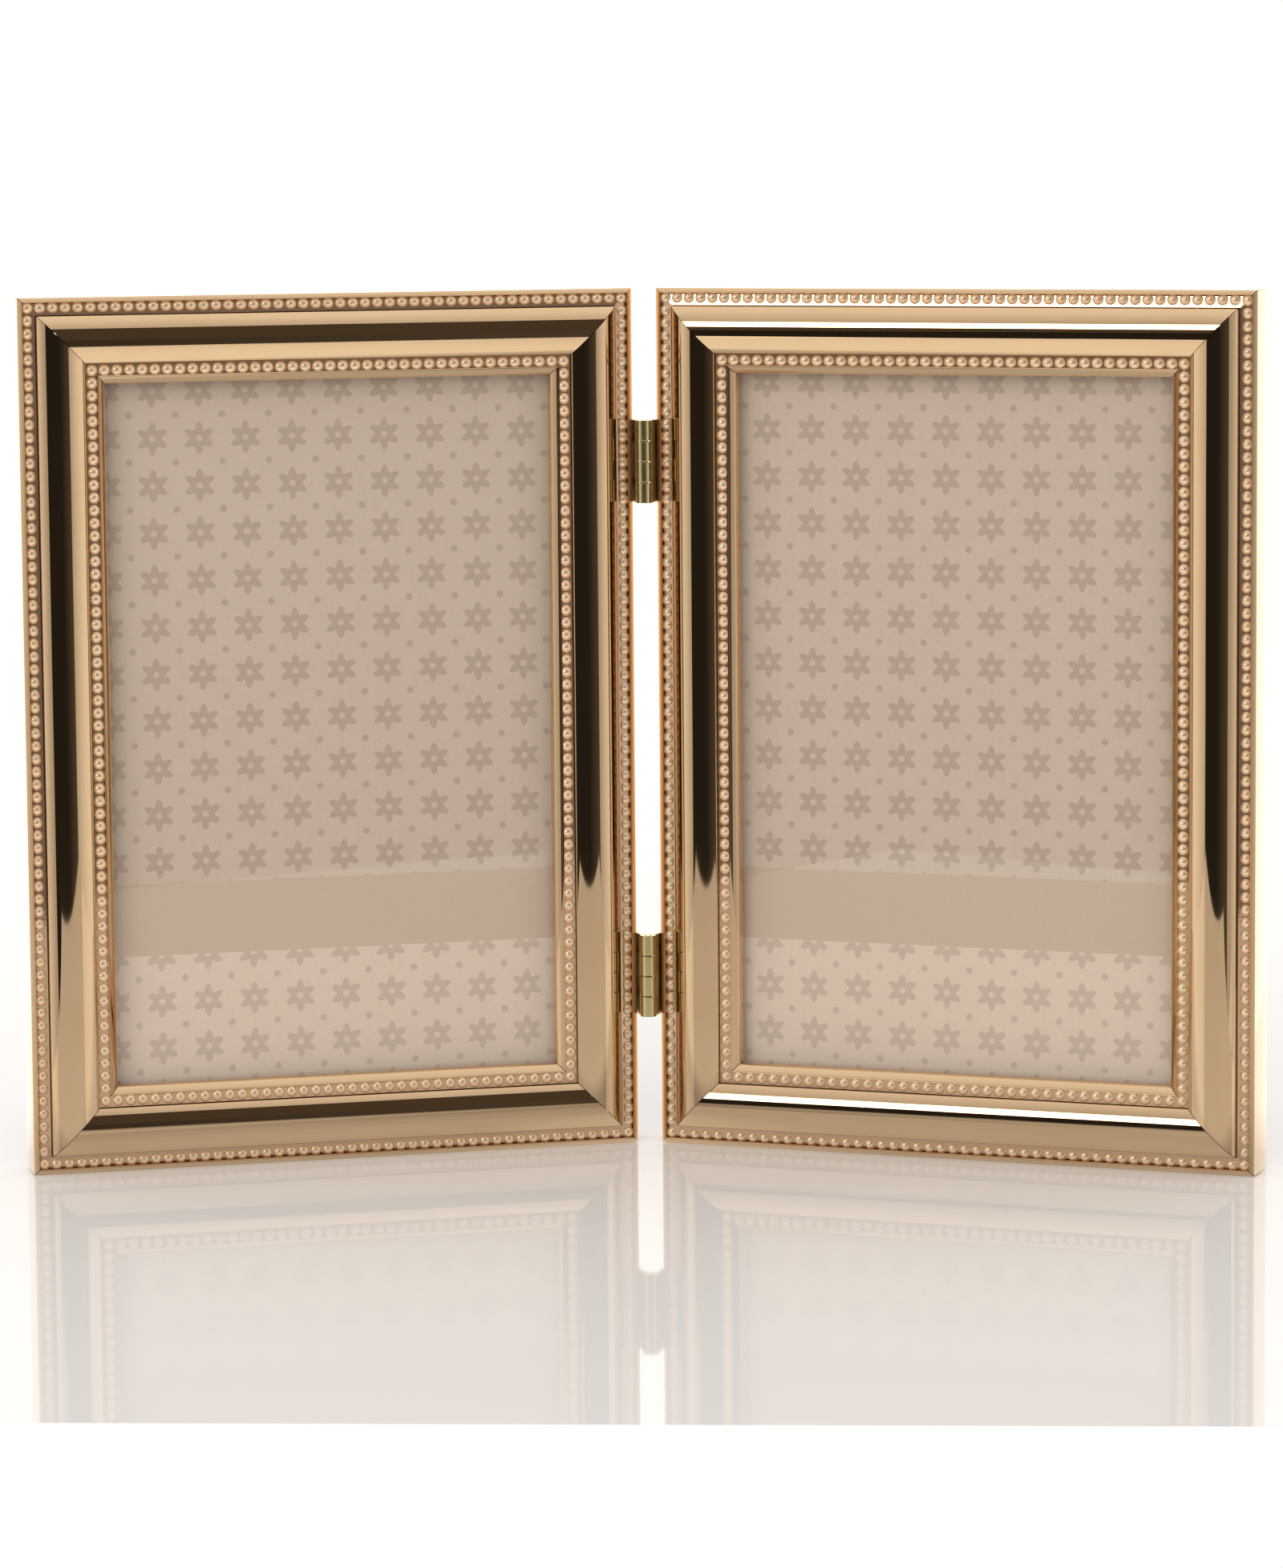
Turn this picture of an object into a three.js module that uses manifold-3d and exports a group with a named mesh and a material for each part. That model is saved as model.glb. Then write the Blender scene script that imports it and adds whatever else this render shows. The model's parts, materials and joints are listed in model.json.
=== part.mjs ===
// Double photo frame: two mitred metal frames joined like a book by two butt hinges.
// Millimetres, +Z up. The fronts face -Y and the pair stands open in a shallow V.
import * as THREE from "three";
import { mergeVertices } from "three/addons/utils/BufferGeometryUtils.js";
import Module from "manifold-3d";

// Print, and how far the moulding laps over its edge
const PRINT_W = 101.6;
const PRINT_H = 152.4;
const SIGHT_LAP = 4.7;

// Moulding: insets run from the outer edge inwards, heights from the outer lip forwards
const BORDER = 17.4;
const SHEET = 0.6;
const LIP_W = 0.9;
const LIP_CHAMFER = 0.3;
const OUTER_GROOVE_CLEAR = 0.7;
const INNER_GROOVE_CLEAR = 0.3;
const GROOVE_DRAFT = 0.15;
const FOOT_HEIGHT = 0.8;
const HUMP_RISE = 2.5;
const SIGHT_LIP_W = 0.9;
const SIGHT_LIP_HEIGHT = 1.2;
const SIGHT_BEVEL_W = 0.7;
const SIGHT_BEVEL_DROP = 0.9;
const LEDGE_DROP = 2.0;
const FLANGE_W = 7.4;
const MITRE_SEAM = 0.3;
const HUMP_STEPS = 8;
const HOLLOW_STEPS = 4;

// Pearl wire laid in the two grooves: a row of beads on a flat strip
const PEARL_D = 2.05;
const PEARL_GAP = 0.53;
const PEARL_CROWN_R = 0.62;
const STRIP_T = 0.65;
const STRIP_FOOT_STEP = 24;
const WIRE_FIT = 0.12;

// What lies in the rebate, front to back
const GLASS_T = 2.0;
const PRINT_T = 0.3;
const CARD_T = 1.0;
const BOARD_T = 2.2;
const VELVET_T = 0.4;
const LAYER_FIT = 0.3;
const BOARD_FIT = 0.4;
const BOARD_CORNER_R = 2.0;

// Turn buttons riveted to the back flange
const BUTTON_W = 6.4;
const BUTTON_TIP_W = 4.0;
const BUTTON_REACH = 8.0;
const BUTTON_T = 0.8;
const BUTTON_FIT = 0.3;
const PIVOT_R = 1.0;
const PIVOT_HEAD_R = 1.9;
const PIVOT_CROWN_R = 1.3;
const PIVOT_HEAD_H = 0.7;
const PIVOT_FIT = 0.12;

// Butt hinges on the facing side walls
const PANEL_TURN_DEG = 17.73;
const FACE_FIT = 0.3;
const WALL_TO_AXIS = 1.5;
const HINGE_INSET = 35.5;
const HINGE_H = 17.0;
const KNUCKLES = 4;
const KNUCKLE_R = 1.7;
const KNUCKLE_FIT = 0.2;
const PIN_R = 0.8;
const PIN_FIT = 0.08;
const LEAF_T = 0.7;
const LEAF_REACH = 8.0;
const LEAF_FIT = 0.25;
const NOTCH_FIT = 0.3;
const LEAF_RIVET_R = 0.7;
const LEAF_RIVET_HEAD_R = 1.2;
const LEAF_RIVET_TAIL_H = 0.5;
const LEAF_RIVET_SPACING = 9.0;
const LEAF_RIVET_FIT = 0.1;

// Facets on round forms
const KNUCKLE_STEPS = 12;
const PIVOT_STEPS = 8;
const BUTTON_ARC_STEPS = 6;
const LEAF_RIVET_STEPS = 6;
const BOARD_CORNER_STEPS = 2;
const MERGE_TOLERANCE = 1e-4;

// Sizes that follow from the driving ones
const panelW = PRINT_W + 2 * (BORDER - SIGHT_LAP);
const panelH = PRINT_H + 2 * (BORDER - SIGHT_LAP);
const crest = FOOT_HEIGHT + HUMP_RISE;
const axisToLip = crest + FACE_FIT;
const pearlR = PEARL_D / 2;
const outerFloor = -(pearlR + WIRE_FIT);
const innerFloor = SIGHT_LIP_HEIGHT - pearlR - WIRE_FIT;
const wireGrooveW = PEARL_D + 2 * WIRE_FIT;
const outerFootU = LIP_W + wireGrooveW + OUTER_GROOVE_CLEAR;
const sightLipU = BORDER - SIGHT_BEVEL_W - SIGHT_LIP_W;
const innerFootU = sightLipU - wireGrooveW - INNER_GROOVE_CLEAR;
const seatU = BORDER - SIGHT_LAP - LAYER_FIT;

// Depths behind the outer lip
const seatDepth = LEDGE_DROP + SHEET;
const glassDepth = seatDepth + LAYER_FIT;
const printDepth = glassDepth + GLASS_T + LAYER_FIT;
const cardDepth = printDepth + PRINT_T + LAYER_FIT;
const rebateDepth = cardDepth + CARD_T;
const boardDepth = rebateDepth + LAYER_FIT;
const velvetDepth = boardDepth + BOARD_T + LAYER_FIT;
const panelDepth = velvetDepth + VELVET_T;

const goldPlate = { color: 0xd9b48c, roughness: 0.12, metalness: 1.0 };
const hingeBrass = { color: 0xb9a66a, roughness: 0.25, metalness: 1.0 };
const clearGlass = { color: 0xe8eeee, roughness: 0.02, metalness: 0.0, transparent: true, opacity: 0.3 };
const printedPaper = { color: 0xc5b29e, roughness: 0.8, metalness: 0.0 };
const greyCard = { color: 0x9a948a, roughness: 0.95, metalness: 0.0 };
const fibreBoard = { color: 0x7a5a3c, roughness: 0.9, metalness: 0.0 };
const blackVelvet = { color: 0x141216, roughness: 1.0, metalness: 0.0 };

const wasm = await Module();
wasm.setup();

function toSolid(geometry) {
  const bare = geometry.clone();
  bare.deleteAttribute("normal");
  bare.deleteAttribute("uv");
  const merged = mergeVertices(bare, MERGE_TOLERANCE);
  const vertProperties = new Float32Array(merged.attributes.position.array);
  const triVerts = new Uint32Array(merged.index.array);
  return new wasm.Manifold(new wasm.Mesh({ numProp: 3, vertProperties, triVerts }));
}

function toGeometry(solid) {
  const { vertProperties, triVerts } = solid.getMesh();
  const geometry = new THREE.BufferGeometry();
  geometry.setAttribute("position", new THREE.Float32BufferAttribute(vertProperties, 3));
  geometry.setIndex(new THREE.Uint32BufferAttribute(triVerts, 1));
  geometry.computeVertexNormals();
  return geometry;
}

function cut(geometry, tools) {
  let solid = toSolid(geometry);
  for (const tool of tools) {
    solid = solid.subtract(toSolid(tool));
  }
  return toGeometry(solid);
}

function join(geometries) {
  return toGeometry(geometries.map(toSolid).reduce((whole, piece) => whole.add(piece)));
}

function named(name, geometry, finish) {
  const mesh = new THREE.Mesh(geometry, new THREE.MeshStandardMaterial(finish));
  mesh.name = name;
  return mesh;
}

// A box given by its low and high corners
function block(low, high) {
  const size = high.map((value, axis) => value - low[axis]);
  const centre = high.map((value, axis) => (value + low[axis]) / 2);
  return new THREE.BoxGeometry(...size).translate(...centre);
}

// A flat outline drawn in X and Z, with its thickness running back from the given depth and
// each of its arcs in the given number of steps
function plate(shape, depth, thickness, arcSteps) {
  const settings = { depth: thickness, bevelEnabled: false, curveSegments: arcSteps / 2 };
  const geometry = new THREE.ExtrudeGeometry(shape, settings);
  return geometry.rotateX(Math.PI / 2).translate(0, depth + thickness, 0);
}

// A turned piece along Y from [radius, y] pairs that start and end on the axis
function turned(pairs, steps) {
  const points = pairs.map(([radius, y]) => new THREE.Vector2(radius, y));
  return new THREE.LatheGeometry(points, steps);
}

function roundedRectangle(width, height, radius) {
  const x = width / 2;
  const z = height / 2;
  const shape = new THREE.Shape();
  shape.absarc(x - radius, z - radius, radius, 0, Math.PI / 2);
  shape.absarc(radius - x, z - radius, radius, Math.PI / 2, Math.PI);
  shape.absarc(radius - x, radius - z, radius, Math.PI, 1.5 * Math.PI);
  shape.absarc(x - radius, radius - z, radius, 1.5 * Math.PI, 2 * Math.PI);
  return shape;
}

// Points on the hump's arc, or on the parallel arc one sheet below it
function humpArc(offset, steps) {
  const half = (innerFootU - outerFootU) / 2;
  const radius = (half * half + HUMP_RISE * HUMP_RISE) / (2 * HUMP_RISE);
  const middle = outerFootU + half;
  const spread = Math.asin(half / radius);
  const points = [];
  for (let step = 0; step <= steps; step += 1) {
    const angle = spread * ((2 * step) / steps - 1);
    const reach = radius - offset;
    points.push([middle + reach * Math.sin(angle), crest - radius + reach * Math.cos(angle)]);
  }
  return points;
}

// Section of the rolled moulding as [inset, height] pairs: the side that shows, from the back
// flange round the front to the glass seat, then the hollow side on the way back
function mouldingSection() {
  const shown = [
    [FLANGE_W, -panelDepth],
    [0, -panelDepth],
    [0, -LIP_CHAMFER],
    [LIP_CHAMFER, 0],
    [LIP_W, 0],
    [LIP_W + GROOVE_DRAFT / 2, outerFloor],
    [outerFootU - GROOVE_DRAFT, outerFloor],
    ...humpArc(0, HUMP_STEPS),
    [innerFootU + GROOVE_DRAFT, innerFloor],
    [sightLipU - GROOVE_DRAFT / 2, innerFloor],
    [sightLipU, SIGHT_LIP_HEIGHT],
    [sightLipU + SIGHT_LIP_W, SIGHT_LIP_HEIGHT],
    [BORDER, SIGHT_LIP_HEIGHT - SIGHT_BEVEL_DROP],
    [BORDER, -seatDepth],
    [seatU, -seatDepth],
    [seatU, -rebateDepth],
  ];
  const hollow = [
    [seatU - SHEET, -rebateDepth],
    [seatU - SHEET, -LEDGE_DROP],
    [BORDER - SHEET, -LEDGE_DROP],
    [BORDER - SHEET, innerFloor - SHEET],
    [innerFootU - SHEET, innerFloor - SHEET],
    ...humpArc(SHEET, HOLLOW_STEPS).slice(1, -1).reverse(),
    [outerFootU, outerFloor - SHEET],
    [SHEET, outerFloor - SHEET],
    [SHEET, SHEET - panelDepth],
    [FLANGE_W, SHEET - panelDepth],
  ];
  return [...shown, ...hollow];
}

// One mitred rail: X along it, Y back from the outer lip, Z inwards from the outer edge
function railGeometry(length) {
  const outline = mouldingSection().map(([inset, height]) => new THREE.Vector2(-height, inset));
  const shape = new THREE.Shape(outline);
  const geometry = new THREE.ExtrudeGeometry(shape, { depth: 1, bevelEnabled: false });
  const position = geometry.attributes.position;
  const setback = MITRE_SEAM / Math.SQRT2;
  for (let index = 0; index < position.count; index += 1) {
    const back = position.getX(index);
    const inset = position.getY(index);
    const end = length / 2 - inset - setback;
    position.setXYZ(index, position.getZ(index) > 0.5 ? end : -end, back, inset);
  }
  return geometry;
}

// The four runs of a pearl wire's middle line, anticlockwise as seen from the front
function wireRuns(inset) {
  const x = panelW / 2 - inset;
  const z = panelH / 2 - inset;
  const corners = [[-x, -z], [x, -z], [x, z], [-x, z]];
  const directions = [[1, 0], [0, 1], [-1, 0], [0, -1]];
  return corners.map((start, order) => {
    const length = order % 2 === 0 ? 2 * x : 2 * z;
    const beads = Math.round(length / (PEARL_D + PEARL_GAP));
    return { start, along: directions[order], beads, pitch: length / beads };
  });
}

// Triangles of one bead: a dome from four chains of base points up to the four points of its crown
function domeTriangles(chains, crown) {
  const sides = chains.flatMap((chain, quarter) => {
    const top = crown[quarter];
    const edges = chain.slice(1).flatMap((point, step) => [chain[step], point, top]);
    return [...edges, chain.at(-1), crown[(quarter + 1) % crown.length], top];
  });
  return [...sides, crown[0], crown[1], crown[2], crown[0], crown[2], crown[3]];
}

// Triangles between two rows of points that run the same way
function stripTriangles(lower, upper, distanceOf) {
  const triangles = [];
  const ahead = (row, place) => (place < row.length - 1 ? distanceOf(row[place + 1]) : Infinity);
  let low = 0;
  let high = 0;
  while (low < lower.length - 1 || high < upper.length - 1) {
    if (ahead(lower, low) < ahead(upper, high)) {
      triangles.push(lower[low], lower[low + 1], upper[high]);
      low += 1;
    } else {
      triangles.push(lower[low], upper[high + 1], upper[high]);
      high += 1;
    }
  }
  return triangles;
}

// Pearl wire as a ring: inset of its middle line and height of its middle. The beads are faceted
// domes on a flat strip, with a neck between neighbours and one bead on every corner
function pearlWire(inset, height) {
  const stripTop = STRIP_T - pearlR;
  const position = [];
  const index = [];
  const put = ({ start, along }, distance, inwards, up) => {
    const x = start[0] + along[0] * distance - along[1] * inwards;
    const z = start[1] + along[1] * distance + along[0] * inwards;
    return position.push([x, -height - up, z]) - 1;
  };
  const crownAt = (run, middle, quarters) =>
    quarters.map(([along, inwards]) =>
      put(run, middle + along * PEARL_CROWN_R, inwards * PEARL_CROWN_R, pearlR));

  // Points of the strip: the first corner, the necks and a few feet below, on the outer and inner edge
  const runs = wireRuns(inset);
  for (const run of runs) {
    const necks = Array.from({ length: run.beads }, (_, neck) => (neck + 0.5) * run.pitch);
    const feet = necks.filter((_, neck) => neck % STRIP_FOOT_STEP === STRIP_FOOT_STEP - 1);
    run.edges = [-pearlR, pearlR].map((across) => ({
      corner: put(run, across, across, stripTop),
      necks: necks.map((distance) => put(run, distance, across, stripTop)),
      cornerFoot: put(run, across, across, -pearlR),
      feet: feet.map((distance) => put(run, distance, across, -pearlR)),
    }));
  }

  runs.forEach((run, order) => {
    const [outer, inner] = run.edges;
    for (let bead = 1; bead < run.beads; bead += 1) {
      const base = [outer.necks[bead - 1], outer.necks[bead], inner.necks[bead], inner.necks[bead - 1]];
      const chains = base.map((point, corner) => [point, base[(corner + 1) % base.length]]);
      const crown = crownAt(run, bead * run.pitch, [[0, -1], [1, 0], [0, 1], [-1, 0]]);
      index.push(...domeTriangles(chains, crown));
    }

    const [outerLast, innerLast] = runs.at(order - 1).edges.map((edge) => edge.necks.at(-1));
    const cornerChains = [
      [outerLast, outer.corner],
      [outer.corner, outer.necks[0]],
      [outer.necks[0], inner.necks[0], inner.corner],
      [inner.corner, innerLast, outerLast],
    ];
    const cornerCrown = crownAt(run, 0, [[-1, 0], [0, -1], [1, 0], [0, 1]]);
    index.push(...domeTriangles(cornerChains, cornerCrown));

    const next = runs[(order + 1) % runs.length].edges;
    const tops = run.edges.map((edge, side) => [edge.corner, ...edge.necks, next[side].corner]);
    const soles = run.edges.map((edge, side) => [edge.cornerFoot, ...edge.feet, next[side].cornerFoot]);
    const distanceOf = (point) => {
      const [x, , z] = position[point];
      return run.along[0] * (x - run.start[0]) + run.along[1] * (z - run.start[1]);
    };
    index.push(...stripTriangles(soles[0], tops[0], distanceOf));
    index.push(...stripTriangles(tops[1], soles[1], distanceOf));
    index.push(...stripTriangles(soles[1], soles[0], distanceOf));
  });

  const geometry = new THREE.BufferGeometry();
  geometry.setAttribute("position", new THREE.Float32BufferAttribute(position.flat(), 3));
  geometry.setIndex(index);
  geometry.computeVertexNormals();
  return geometry;
}

// Turn button on its rivet: a tab that laps the back board, pivoting on the back flange
const pivotInset = FLANGE_W / 2;
const buttonDepth = panelDepth + BUTTON_FIT;
const pivotHeadDepth = buttonDepth + BUTTON_T + PIVOT_FIT;

function turnButton() {
  const shape = new THREE.Shape();
  shape.absarc(0, 0, BUTTON_W / 2, Math.PI, 2 * Math.PI);
  shape.absarc(0, BUTTON_REACH, BUTTON_TIP_W / 2, 0, Math.PI);
  const rim = Array.from({ length: PIVOT_STEPS }, (_, step) => {
    const angle = (2 * Math.PI * step) / PIVOT_STEPS;
    return new THREE.Vector2(Math.sin(angle), Math.cos(angle)).multiplyScalar(PIVOT_R + PIVOT_FIT);
  });
  shape.holes.push(new THREE.Path(rim));
  return plate(shape, buttonDepth, BUTTON_T, BUTTON_ARC_STEPS).translate(0, 0, pivotInset);
}

function pivotRivet() {
  const tailFace = panelDepth - SHEET - PIVOT_FIT;
  const pairs = [
    [0, tailFace - PIVOT_HEAD_H],
    [PIVOT_HEAD_R, tailFace],
    [PIVOT_R, tailFace],
    [PIVOT_R, pivotHeadDepth],
    [PIVOT_HEAD_R, pivotHeadDepth],
    [PIVOT_CROWN_R, pivotHeadDepth + PIVOT_HEAD_H],
    [0, pivotHeadDepth + PIVOT_HEAD_H],
  ];
  return turned(pairs, PIVOT_STEPS).translate(0, 0, pivotInset);
}

function pivotHole() {
  const length = 4 * SHEET;
  const hole = new THREE.CylinderGeometry(PIVOT_R + PIVOT_FIT, PIVOT_R + PIVOT_FIT, length, PIVOT_STEPS);
  return hole.translate(0, panelDepth - SHEET / 2, pivotInset);
}

// Butt hinge, about the pin's axis: leaves lie along the side walls and roll into knuckles
const leafFar = WALL_TO_AXIS - LEAF_FIT;
const leafNear = leafFar - LEAF_T;
const leafBack = axisToLip + LEAF_REACH;
const leafRivetDepth = axisToLip + LEAF_REACH / 2;
const notchFront = KNUCKLE_R + NOTCH_FIT;
const hingeHeights = [panelH - HINGE_INSET, HINGE_INSET];
const leafRivetOffsets = [LEAF_RIVET_SPACING / 2, -LEAF_RIVET_SPACING / 2];

function knuckle(low, high) {
  const ring = new THREE.Shape();
  ring.absarc(0, 0, KNUCKLE_R, 0, 2 * Math.PI);
  const bore = new THREE.Path();
  bore.absarc(0, 0, PIN_R + PIN_FIT, 0, 2 * Math.PI, true);
  ring.holes.push(bore);
  const settings = { depth: high - low, bevelEnabled: false, curveSegments: KNUCKLE_STEPS / 2 };
  return new THREE.ExtrudeGeometry(ring, settings).translate(0, 0, low);
}

// A countersunk rivet along X: its head is flush with the leaf and its tail is inside the rail
function leafRivet(side, fit, tailR) {
  const head = LEAF_RIVET_HEAD_R + fit;
  const shank = LEAF_RIVET_R + fit;
  const tailFace = WALL_TO_AXIS + SHEET + LEAF_RIVET_FIT;
  const pairs = [
    [0, leafNear],
    [head, leafNear],
    [shank, leafNear + LEAF_T / 2],
    [shank, tailFace],
    [tailR, tailFace],
    [0, tailFace + LEAF_RIVET_TAIL_H],
  ];
  return turned(pairs, LEAF_RIVET_STEPS).rotateZ((-side * Math.PI) / 2).translate(0, leafRivetDepth, 0);
}

function hingeLeaf(side, firstKnuckle) {
  const sides = [side * leafNear, side * leafFar].sort((a, b) => a - b);
  const pieces = [block([sides[0], notchFront, -HINGE_H / 2], [sides[1], leafBack, HINGE_H / 2])];
  const pitch = HINGE_H / KNUCKLES;
  const root = PIN_R + PIN_FIT + (KNUCKLE_R - PIN_R) / 4;
  for (let place = firstKnuckle; place < KNUCKLES; place += 2) {
    const low = place * pitch - HINGE_H / 2 + (place > 0 ? KNUCKLE_FIT / 2 : 0);
    const high = (place + 1) * pitch - HINGE_H / 2 - (place < KNUCKLES - 1 ? KNUCKLE_FIT / 2 : 0);
    pieces.push(knuckle(low, high));
    pieces.push(block([sides[0], root, low], [sides[1], notchFront + LEAF_T, high]));
  }
  const holes = leafRivetOffsets.map((offset) =>
    leafRivet(side, LEAF_RIVET_FIT, LEAF_RIVET_R + LEAF_RIVET_FIT).translate(0, 0, offset));
  return cut(join(pieces), holes);
}

function hingePin() {
  const pin = new THREE.CylinderGeometry(PIN_R, PIN_R, HINGE_H, KNUCKLE_STEPS);
  return pin.rotateX(Math.PI / 2);
}

// Holes in the hinge-side rail's wall, in that rail's own directions
function wallHoles() {
  const radius = LEAF_RIVET_R + LEAF_RIVET_FIT;
  const holes = [];
  for (const height of hingeHeights) {
    for (const offset of leafRivetOffsets) {
      const hole = new THREE.CylinderGeometry(radius, radius, 4 * SHEET, LEAF_RIVET_STEPS);
      hole.rotateY(Math.PI / 2).rotateX(Math.PI / 2);
      holes.push(hole.translate(height + offset - panelH / 2, leafRivetDepth - axisToLip, SHEET / 2));
    }
  }
  return holes;
}

// One frame with what it holds, about its own middle, with Y back from the outer lip
function framePanel(label, side) {
  const panel = new THREE.Group();
  panel.position.set(side * (WALL_TO_AXIS + panelW / 2), axisToLip, panelH / 2);
  const places = [
    { part: "bottom", turn: 0, x: 0, z: -panelH / 2, length: panelW },
    { part: "top", turn: Math.PI, x: 0, z: panelH / 2, length: panelW },
    { part: "outer", turn: (-side * Math.PI) / 2, x: (side * panelW) / 2, z: 0, length: panelH },
    { part: "hinge", turn: (side * Math.PI) / 2, x: (-side * panelW) / 2, z: 0, length: panelH },
  ];
  for (const { part, turn, x, z, length } of places) {
    const rail = new THREE.Group();
    rail.position.set(x, 0, z);
    rail.rotation.y = turn;
    const holes = part === "hinge" ? [pivotHole(), ...wallHoles()] : [pivotHole()];
    rail.add(named(`${label}_${part}_rail`, cut(railGeometry(length), holes), goldPlate));
    rail.add(named(`${label}_${part}_turn_button`, turnButton(), hingeBrass));
    rail.add(named(`${label}_${part}_button_rivet`, pivotRivet(), hingeBrass));
    panel.add(rail);
  }
  const outerInset = LIP_W + WIRE_FIT + pearlR;
  const innerInset = sightLipU - WIRE_FIT - pearlR;
  panel.add(named(`${label}_outer_pearl_wire`, pearlWire(outerInset, 0), goldPlate));
  panel.add(named(`${label}_inner_pearl_wire`, pearlWire(innerInset, SIGHT_LIP_HEIGHT), goldPlate));

  const layer = (depth, thickness) =>
    block([-PRINT_W / 2, depth, -PRINT_H / 2], [PRINT_W / 2, depth + thickness, PRINT_H / 2]);
  panel.add(named(`${label}_glass`, layer(glassDepth, GLASS_T), clearGlass));
  panel.add(named(`${label}_insert_print`, layer(printDepth, PRINT_T), printedPaper));
  panel.add(named(`${label}_filler_card`, layer(cardDepth, CARD_T), greyCard));

  const boardInset = FLANGE_W + BOARD_FIT;
  const outline = roundedRectangle(panelW - 2 * boardInset, panelH - 2 * boardInset, BOARD_CORNER_R);
  const board = plate(outline, boardDepth, BOARD_T, BOARD_CORNER_STEPS);
  const velvet = plate(outline, velvetDepth, VELVET_T, BOARD_CORNER_STEPS);
  panel.add(named(`${label}_back_board`, board, fibreBoard));
  panel.add(named(`${label}_back_velvet`, velvet, blackVelvet));
  return panel;
}

const sides = [
  { label: "left", side: -1, firstKnuckle: 1 },
  { label: "right", side: 1, firstKnuckle: 0 },
];
const hinges = [
  { place: "upper", height: hingeHeights[0] },
  { place: "lower", height: hingeHeights[1] },
];

const frame = new THREE.Group();
for (const { label, side, firstKnuckle } of sides) {
  const half = new THREE.Group();
  half.rotation.z = -side * THREE.MathUtils.degToRad(PANEL_TURN_DEG);
  half.add(framePanel(label, side));
  for (const { place, height } of hinges) {
    const leaf = named(`${place}_hinge_${label}_leaf`, hingeLeaf(side, firstKnuckle), hingeBrass);
    leaf.position.z = height;
    half.add(leaf);
    leafRivetOffsets.forEach((offset, count) => {
      const geometry = leafRivet(side, 0, LEAF_RIVET_HEAD_R);
      const rivet = named(`${place}_hinge_${label}_rivet_${count + 1}`, geometry, hingeBrass);
      rivet.position.z = height + offset;
      half.add(rivet);
    });
  }
  frame.add(half);
}
for (const { place, height } of hinges) {
  const pin = named(`${place}_hinge_pin`, hingePin(), hingeBrass);
  pin.position.z = height;
  frame.add(pin);
}

// The origin is the middle of the footprint, on the surface that the frame stands on
const box = new THREE.Box3().setFromObject(frame, true);
frame.position.y = -(box.min.y + box.max.y) / 2;

export default frame;
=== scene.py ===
import json
import math
import bpy
from mathutils import Matrix, Vector

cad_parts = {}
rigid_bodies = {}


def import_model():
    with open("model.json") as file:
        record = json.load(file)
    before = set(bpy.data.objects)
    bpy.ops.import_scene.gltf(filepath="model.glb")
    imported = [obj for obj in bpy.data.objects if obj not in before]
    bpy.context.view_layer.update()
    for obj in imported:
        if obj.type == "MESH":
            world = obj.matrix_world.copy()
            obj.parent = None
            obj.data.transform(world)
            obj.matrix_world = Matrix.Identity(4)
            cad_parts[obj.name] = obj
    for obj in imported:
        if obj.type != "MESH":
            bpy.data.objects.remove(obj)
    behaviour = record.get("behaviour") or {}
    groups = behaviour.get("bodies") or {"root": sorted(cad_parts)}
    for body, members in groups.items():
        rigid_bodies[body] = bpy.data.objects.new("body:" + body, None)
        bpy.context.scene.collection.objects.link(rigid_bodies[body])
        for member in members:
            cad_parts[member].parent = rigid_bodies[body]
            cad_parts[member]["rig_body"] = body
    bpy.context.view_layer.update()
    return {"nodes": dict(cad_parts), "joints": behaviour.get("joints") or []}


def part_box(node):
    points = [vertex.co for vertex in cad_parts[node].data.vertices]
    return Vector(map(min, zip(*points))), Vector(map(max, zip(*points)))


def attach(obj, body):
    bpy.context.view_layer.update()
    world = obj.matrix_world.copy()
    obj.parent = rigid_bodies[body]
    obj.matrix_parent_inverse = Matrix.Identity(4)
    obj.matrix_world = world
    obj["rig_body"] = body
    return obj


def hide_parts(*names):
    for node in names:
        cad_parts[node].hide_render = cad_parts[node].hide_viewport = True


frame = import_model()


# Camera
# The viewpoint of the photograph: a long lens a little right of the fold, about 1.2 m away and
# just above the frames' top edge, looking slightly down.
CAMERA_PLACE = Vector((0.05842, -1.17617, 0.21584))
CAMERA_TURN, CAMERA_TILT, CAMERA_ROLL = (math.radians(angle) for angle in (2.868, 6.728, -0.475))
CAMERA_LENS, CAMERA_SENSOR = 132.86, 36
bpy.ops.object.camera_add()
camera = bpy.context.object
camera.name = "photo_camera"
camera.data.lens, camera.data.sensor_width = CAMERA_LENS, CAMERA_SENSOR
camera.matrix_world = (
    Matrix.Translation(CAMERA_PLACE)
    @ Matrix.Rotation(CAMERA_TURN, 4, "Z")
    @ Matrix.Rotation(math.radians(90) - CAMERA_TILT, 4, "X")
    @ Matrix.Rotation(CAMERA_ROLL, 4, "Z")
)
bpy.context.scene.camera = camera
bpy.context.scene.view_settings.view_transform = "Standard"


# Studio
# A white lacquered table with a straight front edge, inside a white light tent that is open to a dark room
# in front. The polished rails mirror the dark opening as their black bands and the tent as gold. The cards
# that only polish sees are the table, the opening and the tent's lower edge, as a mirror shows them.
WHITE = (1, 1, 1, 1)
TABLE_FRONT, TABLE_BACK, TABLE_HALF, TABLE_DROP = -0.245, 2.4, 1.8, 0.0002
TABLE_LACQUER, TABLE_WHITE, TABLE_GROUND = 0.6, (0.99, 0.985, 0.98, 1), (1.0, 0.92, 0.84, 1)
TABLE_ROUGH, TABLE_TINT, GLOSS_IOR = 0.03, (1, 0.82, 0.64, 1), 1.5
MIRRORED_FRONT, MIRRORED_HALF, MIRRORED_ROUGH = -0.395, 0.235, 0.05
# The mirrored table's levels hold a painted shadow: darker just in front of the frames, where they shade the
# table.
MIRRORED_LEVELS_PAINTED_SHADOW = ((-0.075, 1.05), (-0.045, 0.54), (0.0, 0.54), (0.05, 1.2))
TENT_LIGHT, TENT_FRONT = 0.64, -0.15
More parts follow.
